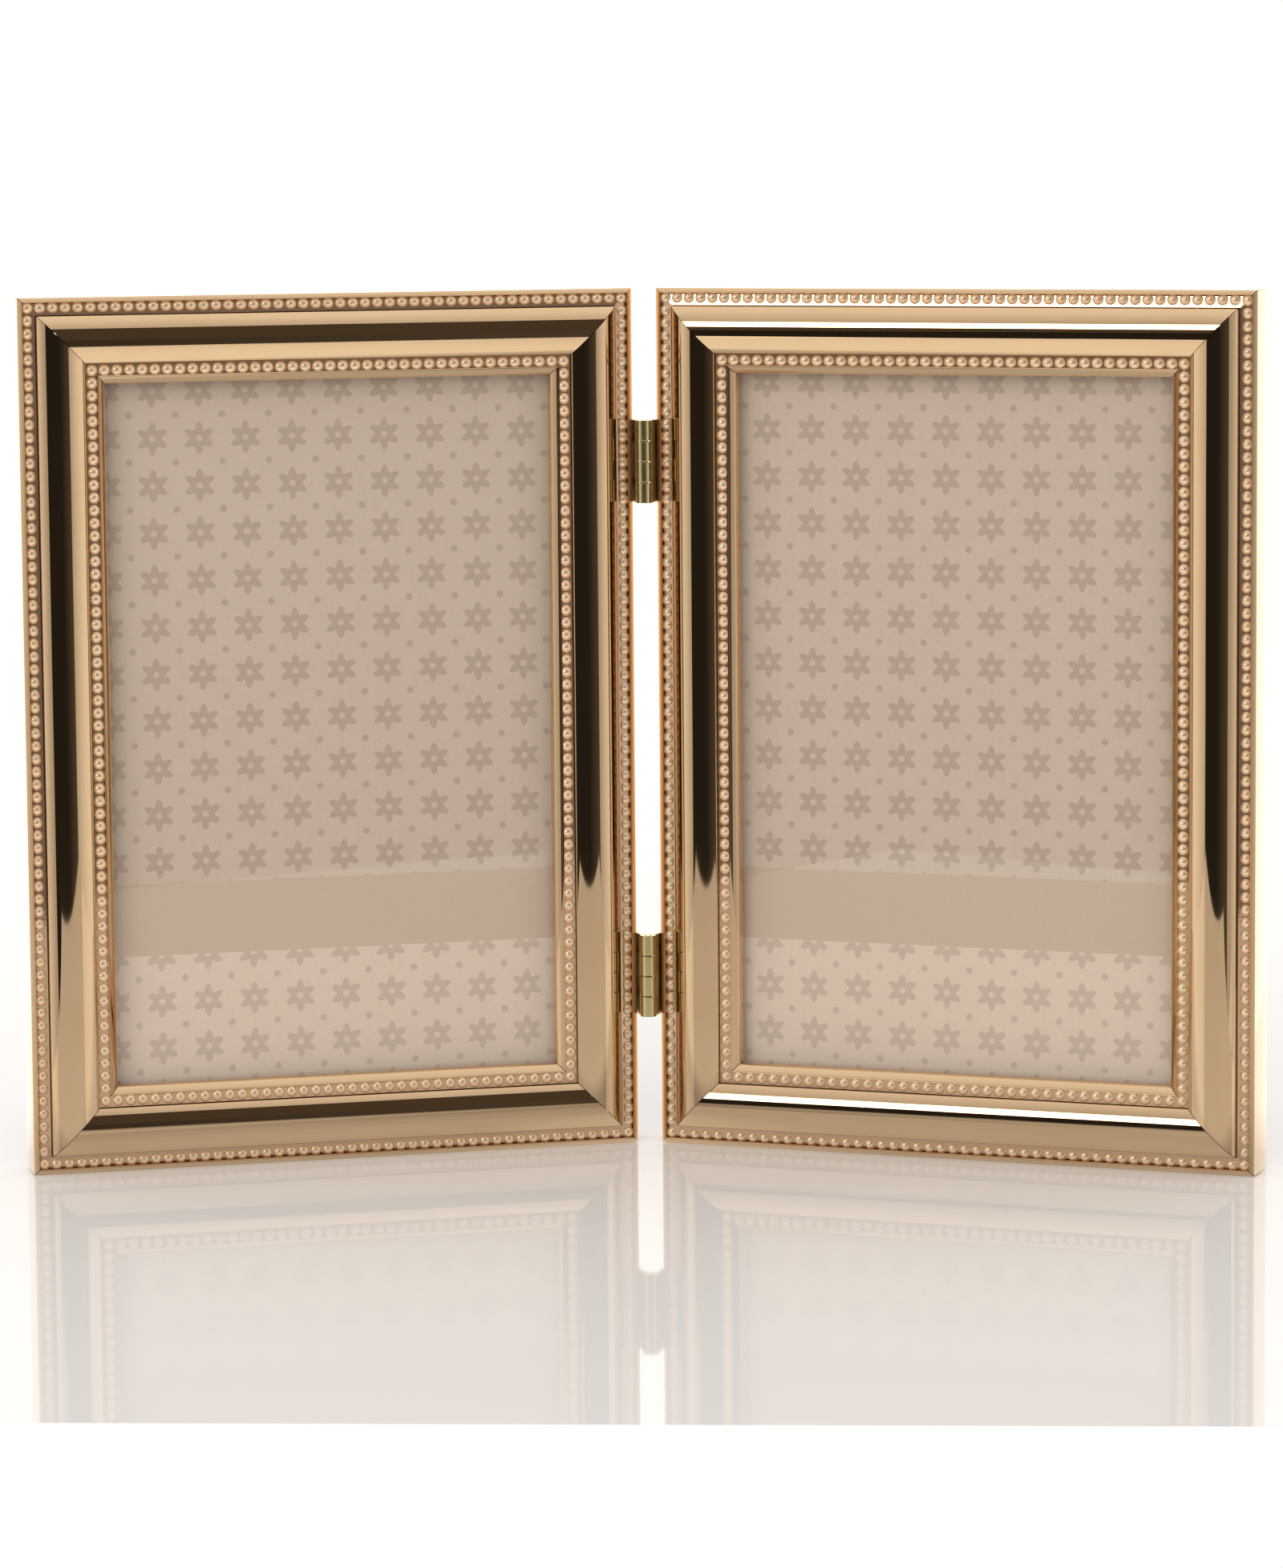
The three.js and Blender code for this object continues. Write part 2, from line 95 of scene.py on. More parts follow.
TENT_LEVELS = ((-0.80, 0.46), (-0.55, 0.74), (-0.25, 0.94), (0.1, 1.0), (0.45, 1.1), (0.8, 1.75))
ROOM_SIDES, ROOM_SILL, ROOM_HEAD = (-0.55, 1.2), -0.02, math.sin(math.radians(39.5))
ROOM_FAR = (0.075, 0.06, 0.04875, 1)
WINDOW_SIDES, WINDOW_FOOT, WINDOW_HEAD = (-0.95, -0.55), math.sin(math.radians(12.1)), 0.477
WINDOW_LIGHT, FIRST_MIRROR, BEFORE_DIFFUSE = (5.0, 5.0, 5.0, 1), 1.5, 0.5
OPENING_Y, OPENING_FADE, OPENING_LEVELS, OPENING_TINT = -0.70, (0.05, 0.42), (0.020, 0.075), (1, 0.9, 0.8, 1)
DARK_CARD = ("dark_opening", -0.58, 0.51, -0.105, 0.18)
LIT_CARDS = {
    "low_tent_edge": (-0.60, -0.30, -0.225, -0.105, 1.1),
    "tent_skirt": (-0.30, 0.90, -0.50, -0.105, 0.80),
}
LAMPS = {
    "high_soft_lamp": (Vector((-0.3, -1.3, 0.5)), 1.3, 9.5),
    "top_soft_lamp": (Vector((0.2, 0.1, 1.4)), 1.2, 1.8),
}
LAMP_AIM = Vector((0, 0, 0.08))


def add_node(tree, kind, sockets=None, **settings):
    """A node with its settings, and its sockets either set to a value or linked to another socket."""
    node = tree.nodes.new(kind)
    for name, value in settings.items():
        setattr(node, name, value)
    for name, value in (sockets or {}).items():
        if isinstance(value, bpy.types.NodeSocket):
            tree.links.new(value, node.inputs[name])
        else:
            node.inputs[name].default_value = value
    return node


def new_finish(name):
    """An empty material, its node tree and its output."""
    finish = bpy.data.materials.new(name)
    finish.use_nodes = True
    finish.node_tree.nodes.clear()
    return finish, finish.node_tree, add_node(finish.node_tree, "ShaderNodeOutputMaterial")


def layered(tree, share, lower, upper):
    """Two shaders mixed, the upper one with its share."""
    return add_node(tree, "ShaderNodeMixShader", {0: share, 1: lower.outputs[0], 2: upper.outputs[0]})


def show(tree, shader, output):
    """A shader joined to the output."""
    tree.links.new(shader.outputs[0], output.inputs["Surface"])


def flat_card(name, size, place, turn=(0, 0, 0)):
    """A plain rectangle of the studio, set up at its place."""
    bpy.ops.object.select_all(action="DESELECT")
    bpy.ops.mesh.primitive_plane_add(size=1)
    card = bpy.context.object
    card.name = name
    card.scale = (size[0], size[1], 1)
    card.rotation_euler = turn
    card.location = place
    bpy.ops.object.transform_apply(location=True, rotation=True, scale=True)
    return card


table = flat_card("table_top", (2 * TABLE_HALF, TABLE_BACK - TABLE_FRONT),
                  (0, (TABLE_FRONT + TABLE_BACK) / 2, -TABLE_DROP))
table_finish, tree, output = new_finish("white_gloss_table")
lacquer = add_node(tree, "ShaderNodeBsdfPrincipled", {"Base Color": TABLE_WHITE, "Roughness": TABLE_ROUGH,
                                                      "IOR": GLOSS_IOR, "Specular Tint": TABLE_TINT})
ground = add_node(tree, "ShaderNodeBsdfDiffuse", {"Color": TABLE_GROUND})
show(tree, layered(tree, TABLE_LACQUER, ground, lacquer), output)
table.data.materials.append(table_finish)
table.visible_glossy = False


def object_place(tree):
    """The place of a point on its piece."""
    return add_node(tree, "ShaderNodeTexCoord").outputs["Object"]


def axes(tree, vector):
    """The three parts of a place or direction."""
    return add_node(tree, "ShaderNodeSeparateXYZ", {0: vector}).outputs


def ranged(tree, value, start, end, first=0.0, last=1.0):
    """From the first level to the last as a value passes from start to end."""
    return add_node(tree, "ShaderNodeMapRange", {"Value": value, "From Min": start, "From Max": end,
                                                 "To Min": first, "To Max": last}).outputs["Result"]


def level_along(tree, way, stops):
    """A grey level that follows a value from -1 to 1 through a row of (value, level) stops."""
    ramp = add_node(tree, "ShaderNodeValToRGB", {"Fac": ranged(tree, way, -1.0, 1.0)})
    for number, (value, level) in enumerate(stops):
        places = ramp.color_ramp.elements
        stop = places[number] if number < 2 else places.new((value + 1) / 2)
        stop.position, stop.color = (value + 1) / 2, (level, level, level, 1)
    return ramp.outputs["Color"]


def mirrored_only(card):
    """Only polished surfaces and glass see this card: it neither shows, lights nor shades anything else."""
    card.visible_camera = card.visible_diffuse = card.visible_shadow = card.visible_volume_scatter = False


mirrored_table = flat_card("mirrored_table", (2 * MIRRORED_HALF, TABLE_BACK - MIRRORED_FRONT),
                           (0, (MIRRORED_FRONT + TABLE_BACK) / 2, -2 * TABLE_DROP))
mirrored_only(mirrored_table)
mirrored_finish, tree, output = new_finish("mirrored_white_gloss")
# The mirrored table carries a painted shadow in front of the frames.
table_level = level_along(tree, axes(tree, object_place(tree))["Y"], MIRRORED_LEVELS_PAINTED_SHADOW)
table_glow = add_node(tree, "ShaderNodeEmission", {"Color": table_level, "Strength": 1.0})
table_gloss = add_node(tree, "ShaderNodeBsdfGlossy", {"Color": WHITE, "Roughness": MIRRORED_ROUGH})
glancing = add_node(tree, "ShaderNodeFresnel", {"IOR": GLOSS_IOR}).outputs[0]
show(tree, layered(tree, glancing, table_glow, table_gloss), output)
mirrored_table.data.materials.append(mirrored_finish)


def upright_card(name, left, right, foot, head):
    """A card in the plane of the tent's opening, seen only in polished surfaces, and its new finish."""
    card = flat_card(name, (right - left, head - foot), ((left + right) / 2, OPENING_Y, (foot + head) / 2),
                     (math.radians(-90), 0, 0))
    mirrored_only(card)
    finish, tree, output = new_finish(f"{name}_glow")
    card.data.materials.append(finish)
    return tree, output


tree, output = upright_card(*DARK_CARD)
room_level = ranged(tree, axes(tree, object_place(tree))["X"], *OPENING_FADE, *OPENING_LEVELS)
show(tree, add_node(tree, "ShaderNodeEmission", {"Color": OPENING_TINT, "Strength": room_level}), output)
for name, (*edges, strength) in LIT_CARDS.items():
    tree, output = upright_card(name, *edges)
    show(tree, add_node(tree, "ShaderNodeEmission", {"Color": WHITE, "Strength": strength}), output)


def value_of(tree, operation, first, second=0.0):
    """One step of arithmetic in a material."""
    return add_node(tree, "ShaderNodeMath", {0: first, 1: second}, operation=operation).outputs[0]


def product(tree, first, *others):
    """Values or masks multiplied with each other."""
    for other in others:
        first = value_of(tree, "MULTIPLY", first, other)
    return first


def within(tree, value, low, high):
    """1 where a value lies between two limits, otherwise 0."""
    return product(tree, value_of(tree, "GREATER_THAN", value, low), value_of(tree, "LESS_THAN", value, high))


def mixed(tree, share, first, second):
    """The first colour with a share of the second."""
    return add_node(tree, "ShaderNodeMix", {0: share, 6: first, 7: second}, data_type="RGBA").outputs[2]


tent = bpy.data.worlds.new("white_tent")
bpy.context.scene.world = tent
tent.use_nodes = True
tree = tent.node_tree
tree.nodes.clear()
ray = add_node(tree, "ShaderNodeLightPath").outputs
way_x, way_y, way_z = axes(tree, add_node(tree, "ShaderNodeTexCoord").outputs["Generated"])
front = value_of(tree, "LESS_THAN", way_y, TENT_FRONT)
aside = value_of(tree, "DIVIDE", way_x, product(tree, way_y, -1.0))
by_window = within(tree, aside, *WINDOW_SIDES)
room_right = product(tree, within(tree, aside, *ROOM_SIDES), within(tree, way_z, ROOM_SILL, ROOM_HEAD))
room_left = product(tree, by_window, within(tree, way_z, ROOM_SILL, WINDOW_FOOT))
room = product(tree, front, value_of(tree, "MAXIMUM", room_left, room_right))
window = product(tree, front, by_window, within(tree, way_z, WINDOW_FOOT, WINDOW_HEAD),
                 value_of(tree, "LESS_THAN", ray["Glossy Depth"], FIRST_MIRROR))
tent_or_room = mixed(tree, room, level_along(tree, way_y, TENT_LEVELS), ROOM_FAR)
lit = add_node(tree, "ShaderNodeBackground", {"Strength": TENT_LIGHT, "Color": WHITE})
mirrored = add_node(tree, "ShaderNodeBackground",
                    {"Strength": 1.0, "Color": mixed(tree, window, tent_or_room, WINDOW_LIGHT)})
seen = add_node(tree, "ShaderNodeBackground", {"Strength": 1.0, "Color": WHITE})
by_polish = product(tree, value_of(tree, "MAXIMUM", ray["Is Glossy Ray"], ray["Is Transmission Ray"]),
                    value_of(tree, "LESS_THAN", ray["Diffuse Depth"], BEFORE_DIFFUSE))
through = product(tree, ray["Is Transmission Ray"], value_of(tree, "GREATER_THAN", way_y, 0.0))
straight = value_of(tree, "MAXIMUM", ray["Is Camera Ray"], through)
show(tree, layered(tree, straight, layered(tree, by_polish, lit, mirrored), seen),
     add_node(tree, "ShaderNodeOutputWorld"))

for name, (place, size, power) in LAMPS.items():
    bpy.ops.object.light_add(type="AREA", location=place)
    lamp = bpy.context.object
    lamp.name = name
    lamp.data.size, lamp.data.energy = size, power
    lamp.rotation_euler = (LAMP_AIM - place).to_track_quat("-Z", "Y").to_euler()
    lamp.visible_glossy = lamp.visible_transmission = False


# Rails
# Each half has four mitred rails, rolled from thin brass sheet and plated in pale gold: a flat side wall,
# a lip, a bead groove, a polished hump, a second groove, a sight lip and the seat for the glass. On the
# hinge side, a painted brown shade darkens the groove between the outer beads and the hump.
MM = 0.001
SIDES = {"left": -1, "right": 1}
PARTS = ("bottom", "top", "outer", "hinge")
SHEET, WALL_DEPTH, MITRE_SEAM, MITRE_WASTE = 0.3 * MM, 10.0 * MM, 0.08 * MM, 1.0 * MM
CREST_INSET, CREST_HEIGHT, HUMP_STEPS = 8.6, 3.3, 24
OUTER_HUMP_R, OUTER_FOOT_INSET, INNER_HUMP_R, INNER_FOOT_INSET = 6.7, 3.7, 7.8, 13.2
ROUND_STEPS, CORNER_REACH = 4, 0.01 * MM
joints = {joint["name"]: joint for joint in frame["joints"]}
FOLD_AXIS = Vector((joints["fold"]["pos_m"][0], joints["fold"]["pos_m"][1], 0))
HALF_TURN = math.atan2(*joints["right_top_button_turn"]["axis"][:2])


def half_place(side):
    """From the axes of one half (x along its width from the fold, y back, z up) to the standing pair."""
    return Matrix.Translation(FOLD_AXIS) @ Matrix.Rotation(-SIDES[side] * HALF_TURN, 4, "Z")


def half_box(side, node):
    """Lowest and highest corner of a solid in the axes of its half."""
    home = half_place(side).inverted()
    corners = [home @ vertex.co for vertex in frame["nodes"][node].data.vertices]
    return tuple(Vector([pick(corner[i] for corner in corners) for i in range(3)]) for pick in (min, max))


HALF_NEAR = half_box("right", "right_hinge_rail")[0].x
HALF_FAR = half_box("right", "right_outer_rail")[1].x
HALF_HEIGHT = half_box("right", "right_top_rail")[1].z
LIP_Y = half_box("right", "right_outer_rail")[1].y - WALL_DEPTH


def rail_place(side, part):
    """Where a rail goes that is drawn along X, with its outer edge on the X axis and its inset along Z."""
    hand = SIDES[side]
    middle = hand * (HALF_NEAR + HALF_FAR) / 2
    x, z, turn = {
        "bottom": (middle, 0, 0),
        "top": (middle, HALF_HEIGHT, 180),
        "outer": (hand * HALF_FAR, HALF_HEIGHT / 2, -90 * hand),
        "hinge": (hand * HALF_NEAR, HALF_HEIGHT / 2, 90 * hand),
    }[part]
    return half_place(side) @ Matrix.Translation((x, LIP_Y, z)) @ Matrix.Rotation(math.radians(turn), 4, "Y")


def start_point(place):
    """A plane shrunk to one point, in edit mode, from which a line is drawn out."""
    bpy.ops.object.select_all(action="DESELECT")
    bpy.ops.mesh.primitive_plane_add(size=MM)
    bpy.ops.object.mode_set(mode="EDIT")
    bpy.ops.mesh.select_mode(type="VERT")
    bpy.ops.mesh.merge(type="CENTER")
    bpy.ops.transform.translate(value=place)
    return bpy.context.object


def draw_to(before, after):
    """The end of the line drawn on from one point to the next."""
    step = Vector(after) - Vector(before)
    bpy.ops.mesh.extrude_region_move(TRANSFORM_OT_translate={"value": step})


def pick_points(piece, wanted):
    """In edit mode, select the points that the test wants, and only those."""
    bpy.ops.mesh.select_mode(type="VERT")
    bpy.ops.mesh.select_all(action="DESELECT")
    bpy.ops.object.mode_set(mode="OBJECT")
    for vertex in piece.data.vertices:
        vertex.select = wanted(vertex.co)
    bpy.ops.object.mode_set(mode="EDIT")


def round_corner(piece, corner, size):
    """One corner of a drawn line rounded off."""
    pick_points(piece, lambda point: (point - Vector(corner)).length < CORNER_REACH)
    bpy.ops.mesh.bevel(offset=size, segments=ROUND_STEPS, affect="VERTICES")


def take(piece):
    """A piece made the only one selected."""
    bpy.ops.object.select_all(action="DESELECT")
    piece.select_set(True)
    bpy.context.view_layer.objects.active = piece


def add_modifier(piece, kind, **settings):
    """A modifier added and applied at once."""
    take(piece)
    modifier = piece.modifiers.new(kind.lower(), kind)
    for name, value in settings.items():
        setattr(modifier, name, value)
    bpy.ops.object.modifier_apply(modifier=modifier.name)


def smooth(piece, angle=40):
    """Smooth shading across edges that turn less than an angle in degrees."""
    take(piece)
    bpy.ops.object.shade_smooth_by_angle(angle=math.radians(angle))


def copy_to(pattern, name, place):
    """A copy of a modelled pattern with its own mesh, put in its place."""
    take(pattern)
    bpy.ops.object.duplicate()
    piece = bpy.context.object
    piece.name = name
    piece.matrix_world = place
    bpy.ops.object.transform_apply(location=True, rotation=True, scale=True)
    return piece


def dress(piece, finish, slot, *nodes):
    """A piece takes its finish, unless it has one, rides on its solid's body and stands for its solids."""
    if finish:
        piece.data.materials.clear()
        piece.data.materials.append(finish)
    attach(piece, frame["nodes"][nodes[0]]["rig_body"])
    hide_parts(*nodes)


def section_point(inset, height):
    """A point of the rail's section, given in millimetres."""
    return Vector((0, -height * MM, inset * MM))


def hump_height(inset, radius):
    """Height of the hump's round above the lip, in millimetres."""
    return CREST_HEIGHT - radius + math.sqrt(radius ** 2 - (inset - CREST_INSET) ** 2)


WALL_LINE = [(7.4, -10.0), (0, -10.0), (0, -0.1), (0.95, 0.6), (1.17, -1.145), (3.6, -1.145),
             (OUTER_FOOT_INSET, hump_height(OUTER_FOOT_INSET, OUTER_HUMP_R))]
SEAT_LINE = [(INNER_FOOT_INSET, hump_height(INNER_FOOT_INSET, INNER_HUMP_R)), (13.28, 0.055), (15.65, 0.055),
             (15.7, 1.38), (17.4, 0.0), (17.4, -2.6), (12.4, -2.6), (12.4, -6.8)]
ROUNDED = {(0, -10.0): 0.5, (0, -0.1): 0.1, (0.95, 0.6): 0.08, WALL_LINE[-1]: 0.08, SEAT_LINE[0]: 0.08,
           (15.7, 1.38): 0.1, (17.4, 0.0): 0.4, (17.4, -2.6): 0.4, (12.4, -2.6): 0.35}


def rolled_rail(length):
    """The section drawn as a line, pulled out to a strip, given the sheet's thickness and mitred."""
    rail = start_point(section_point(*WALL_LINE[0]))
    for before, after in zip(WALL_LINE, WALL_LINE[1:]):
        draw_to(section_point(*before), section_point(*after))
    for radius, inset in ((OUTER_HUMP_R, OUTER_FOOT_INSET), (INNER_HUMP_R, INNER_FOOT_INSET)):
        bpy.ops.mesh.spin(steps=HUMP_STEPS, angle=math.asin(abs(inset - CREST_INSET) / radius),
                          axis=(1, 0, 0), center=section_point(CREST_INSET, CREST_HEIGHT - radius))
    for before, after in zip(SEAT_LINE, SEAT_LINE[1:]):
        draw_to(section_point(*before), section_point(*after))
    for corner, size in ROUNDED.items():
        round_corner(rail, section_point(*corner), size * MM)
    bpy.ops.mesh.select_all(action="SELECT")
    bpy.ops.transform.translate(value=(-length / 2 - MITRE_WASTE, 0, 0))
    bpy.ops.mesh.extrude_region_move(TRANSFORM_OT_translate={"value": (length + 2 * MITRE_WASTE, 0, 0)})
    bpy.ops.mesh.select_all(action="SELECT")
    bpy.ops.mesh.normals_make_consistent(inside=False)
    bpy.ops.object.mode_set(mode="OBJECT")
    wall = min(rail.data.polygons, key=lambda face: face.center.z)
    if wall.normal.z > 0:
        bpy.ops.object.mode_set(mode="EDIT")
        bpy.ops.mesh.select_all(action="SELECT")
        bpy.ops.mesh.flip_normals()
        bpy.ops.object.mode_set(mode="OBJECT")
    add_modifier(rail, "SOLIDIFY", thickness=SHEET, offset=-1, use_even_offset=True)
    bpy.ops.object.mode_set(mode="EDIT")
    for end in (-1, 1):
        bpy.ops.mesh.select_all(action="SELECT")
        bpy.ops.mesh.bisect(plane_co=(end * (length / 2 - MITRE_SEAM), 0, 0), plane_no=(end, 0, 1),
                            use_fill=True, clear_outer=True)
    bpy.ops.object.mode_set(mode="OBJECT")
    smooth(rail)
    rolling = rail.data.attributes.new("rolling", "FLOAT_VECTOR", "POINT")
    for vertex in rail.data.vertices:
        rolling.data[vertex.index].vector = vertex.co
    return rail


def tone(red, green, blue):
    """A colour as it reads on screen, 0 to 255, in the scene's own light values."""
    def light(value):
        value /= 255
        return value / 12.92 if value <= 0.04045 else ((value + 0.055) / 1.055) ** 2.4
    return (light(red), light(green), light(blue), 1)


def noise(tree, where, **sockets):
    """Soft spots all through a piece, from 0 to 1."""
    return add_node(tree, "ShaderNodeTexNoise", {"Vector": where, **sockets}).outputs["Fac"]


def raised(tree, height, **sockets):
    """The surface tilted as if a pattern stood up from it."""
    return add_node(tree, "ShaderNodeBump", {"Height": height, **sockets}).outputs["Normal"]


polish = bpy.data.node_groups.new("polish_marks", "ShaderNodeTree")
for name, kind, way in (("Vector", "NodeSocketVector", "INPUT"), ("Smudge", "NodeSocketFloat", "OUTPUT"),
                        ("Marks", "NodeSocketFloat", "OUTPUT")):
    polish.interface.new_socket(name=name, in_out=way, socket_type=kind)
inside = add_node(polish, "NodeGroupInput").outputs["Vector"]
fine = add_node(polish, "ShaderNodeMapping", {"Vector": inside, "Scale": (30, 1500, 1500)}).outputs[0]
add_node(polish, "NodeGroupOutput", {"Smudge": noise(polish, inside, Scale=55.0, Detail=3.0, Roughness=0.55),
                                     "Marks": noise(polish, fine, Scale=1.0, Detail=2.0)})

GOLD, RAIL_ROUGH, SMUDGED = (tone(232, 198, 157), tone(225, 188, 144)), (0.02, 0.045), (0.35, 0.7)
LIP_INSETS, LIP_DEPTHS, LIP_ROUGH = (-MM, 1.15 * MM), (-MM, 0.3 * MM), 0.35
FOOT_START, FOOT_END, FOOT_FADED, FOOT_DEPTHS = 3.5 * MM, 4.6 * MM, 5.2 * MM, (-4 * MM, 1.2 * MM)
# The brown painted at the hump's outer foot on the hinge rails: painted shade in the groove.
FOOT_PAINTED_SHADE = tone(158, 127, 99)


def gold_finish(name, coordinates, rough, colours=GOLD, metal=1.0, foot=None):
    """Polished gold plate with faint smudges and the fine lengthwise marks of rolling and buffing. On a rail,
    read along its rolling, the lip is duller, and the hump's outer foot may take a painted brown shade."""
    finish, tree, output = new_finish(name)
    if coordinates == "Object":
        where = object_place(tree)
    else:
        where = add_node(tree, "ShaderNodeAttribute", attribute_name=coordinates).outputs["Vector"]
    marked = add_node(tree, "ShaderNodeGroup", {"Vector": where}, node_tree=polish).outputs
    plate = mixed(tree, marked["Smudge"], *colours)
    gloss = ranged(tree, marked["Smudge"], *SMUDGED, *rough)
    if coordinates == "rolling":
        _, depth, inset = axes(tree, where)
        lip = product(tree, within(tree, inset, *LIP_INSETS), within(tree, depth, *LIP_DEPTHS), LIP_ROUGH)
        gloss = value_of(tree, "MAXIMUM", gloss, lip)
    # A painted brown shade darkens the hump's outer foot.
    if foot:
        painted_foot_shade = product(tree, value_of(tree, "GREATER_THAN", inset, FOOT_START),
                          within(tree, depth, *FOOT_DEPTHS),
                          ranged(tree, inset, FOOT_END, FOOT_FADED, 1.0, 0.0))
        plate = mixed(tree, painted_foot_shade, plate, foot)
    show(tree, add_node(tree, "ShaderNodeBsdfPrincipled",
                        {"Base Color": plate, "Roughness": gloss, "Metallic": metal,
                         "Normal": raised(tree, marked["Marks"], Strength=0.02, Distance=0.1 * MM)}), output)
    return finish


rail_gold = gold_finish("rolled_gold_plate", "rolling", RAIL_ROUGH)
hinge_rail_gold = gold_finish("hinge_side_gold_plate", "rolling", RAIL_ROUGH, foot=FOOT_PAINTED_SHADE)
across_rail = rolled_rail(HALF_FAR - HALF_NEAR)
upright_rail = rolled_rail(HALF_HEIGHT)
for side in SIDES:
    for part in PARTS:
        pattern = across_rail if part in ("bottom", "top") else upright_rail
        rail = copy_to(pattern, f"{side}_{part}_moulding", rail_place(side, part))
        dress(rail, hinge_rail_gold if part == "hinge" else rail_gold, "gold_plate", f"{side}_{part}_rail")
bpy.data.objects.remove(across_rail)
bpy.data.objects.remove(upright_rail)


# Pearl wires
# Two rings of pearl wire lie in the grooves of each half. The wire is brass strip stamped with a row of round
# beads, bent round the four corners and plated with the rails. The outer strip leans a little outwards.
# The beads are matter than the rails and painted a paler gold, as painted light; the strip between them is
# duller and painted a darker gold, as painted shade between the beads.
PEARL_R, PEARL_SEGMENTS, PEARL_RINGS, PEARL_CUT, PEARL_SMOOTH = 1.3 * MM, 12, 12, -0.3 * MM, 50
# The beads' gold is painted paler than the plating: painted light.
PEARL_GOLD_PAINTED_PALER, PEARL_ROUGH = (tone(250, 219, 182), tone(245, 210, 170)), (0.27, 0.35)
STRIP_T, STRIP_EDGE, STRIP_SMOOTH = 0.6 * MM, 0.06 * MM, 10
# The strip's gold is painted darker than the plating: painted shade between the beads.
STRIP_GOLD_PAINTED_SHADE, STRIP_ROUGH = (tone(215, 182, 148), tone(208, 174, 139)), (0.03, 0.06)
FACING_FRONT, FACING_BACK = math.radians(90), math.radians(-90)
RINGS = {
    "outer": {"inset": 2.045 * MM, "height": -0.78 * MM, "across": 48, "up": 67,
              "strip": ((1.22, 0.40), (3.55, 0.82))},
    "inner": {"inset": 14.655 * MM, "height": 0.55 * MM, "across": 38, "up": 58,
              "strip": ((13.33, 0.5), (15.62, 0.5))},
}


def one_pearl():
    """A round bead, cut flat where it meets the strip."""
    bpy.ops.object.select_all(action="DESELECT")
    bpy.ops.mesh.primitive_uv_sphere_add(segments=PEARL_SEGMENTS, ring_count=PEARL_RINGS, radius=PEARL_R)
    pearl = bpy.context.object
    pearl.rotation_euler = (math.radians(90), 0, 0)
    bpy.ops.object.transform_apply(rotation=True)
    bpy.ops.object.mode_set(mode="EDIT")
    bpy.ops.mesh.select_all(action="SELECT")
    bpy.ops.mesh.bisect(plane_co=(0, PEARL_CUT, 0), plane_no=(0, 1, 0), use_fill=True, clear_outer=True)
    bpy.ops.object.mode_set(mode="OBJECT")
    smooth(pearl, PEARL_SMOOTH)
    return pearl


def upright_plate(width, height, facing):
    """A flat rectangle stood upright."""
    bpy.ops.object.select_all(action="DESELECT")
    bpy.ops.mesh.primitive_plane_add(size=1)
    plate = bpy.context.object
    plate.scale = (width, height, 1)
    plate.rotation_euler = (facing, 0, 0)
    bpy.ops.object.transform_apply(rotation=True, scale=True)
    return plate


def break_edges(piece, width, steps=2, sharp=50):
    """Edges that turn more than an angle in degrees broken with a small round."""
    add_modifier(piece, "BEVEL", width=width, segments=steps, limit_method="ANGLE",
                 angle_limit=math.radians(sharp))


def strip_ring(width, height, inset, strip):
    """The wire's strip all round the half, from its outer edge to its inner edge, each at its own height."""
    (from_inset, from_height), (to_inset, to_height) = strip
    spread = 2 * (inset - from_inset * MM)
    ring = upright_plate(width + spread, height + spread, FACING_FRONT)
    bpy.ops.object.mode_set(mode="EDIT")
    bpy.ops.mesh.select_all(action="SELECT")
    bpy.ops.transform.translate(value=(0, -from_height * MM, 0))
    bpy.ops.mesh.inset(thickness=(to_inset - from_inset) * MM)
    bpy.ops.transform.translate(value=(0, (from_height - to_height) * MM, 0))
    bpy.ops.mesh.delete(type="ONLY_FACE")
    bpy.ops.object.mode_set(mode="OBJECT")
    add_modifier(ring, "SOLIDIFY", thickness=STRIP_T, offset=-1)
    break_edges(ring, STRIP_EDGE)
    smooth(ring, STRIP_SMOOTH)
    return ring


def pearl_ring(width, height, ring_size):
    """The strip with its rows of beads, one bead on each corner."""
    pearl = one_pearl()
    pearl.data.materials.append(pearl_gold)
    ring = strip_ring(width, height, ring_size["inset"], ring_size["strip"])
    ring.data.materials.append(strip_gold)
    across, up = ring_size["across"], ring_size["up"]
    rows = []
    for x, z, count, step in ((-1, -1, across, (width / across, 0, 0)), (1, -1, up, (0, 0, height / up)),
                              (1, 1, across, (-width / across, 0, 0)), (-1, 1, up, (0, 0, -height / up))):
        row = copy_to(pearl, "row", Matrix.Translation((x * width / 2, 0, z * height / 2)))
        add_modifier(row, "ARRAY", count=count, use_relative_offset=False, use_constant_offset=True,
                     constant_offset_displace=step)
        rows.append(row)
    take(ring)
    for row in rows:
        row.select_set(True)
    bpy.ops.object.join()
    bpy.data.objects.remove(pearl)
    return ring


pearl_gold = gold_finish("beaded_gold_plate", "Object", PEARL_ROUGH, PEARL_GOLD_PAINTED_PALER, metal=0.7)
strip_gold = gold_finish("flat_strip_gold_plate", "Object", STRIP_ROUGH, STRIP_GOLD_PAINTED_SHADE, metal=0.78)
for ring_name, ring_size in RINGS.items():
    width = HALF_FAR - HALF_NEAR - 2 * ring_size["inset"]
    height = HALF_HEIGHT - 2 * ring_size["inset"]
    pattern = pearl_ring(width, height, ring_size)
    for side, hand in SIDES.items():
        middle = Vector((hand * (HALF_NEAR + HALF_FAR) / 2, LIP_Y - ring_size["height"], HALF_HEIGHT / 2))
        wire = copy_to(pattern, f"{side}_{ring_name}_beading", half_place(side) @ Matrix.Translation(middle))
        dress(wire, None, "gold_plate", f"{side}_{ring_name}_pearl_wire")
    bpy.data.objects.remove(pattern)


# Glass
# A pane of 2 mm picture glass in each half, cut square and pushed in from the back against the sight lip.
# The solid's shape is right, so it stays and only takes the look of clear glass.
GLASS_TINT, GLASS_SHADE, HAZY, HAZE = (0.985, 0.995, 0.99, 1), (0.95, 0.96, 0.955, 1), (0.45, 0.8), 0.02


def cover(node, finish):
    """A solid that keeps its shape takes its finish."""
    materials = frame["nodes"][node].data.materials
    materials.clear()
    materials.append(finish)


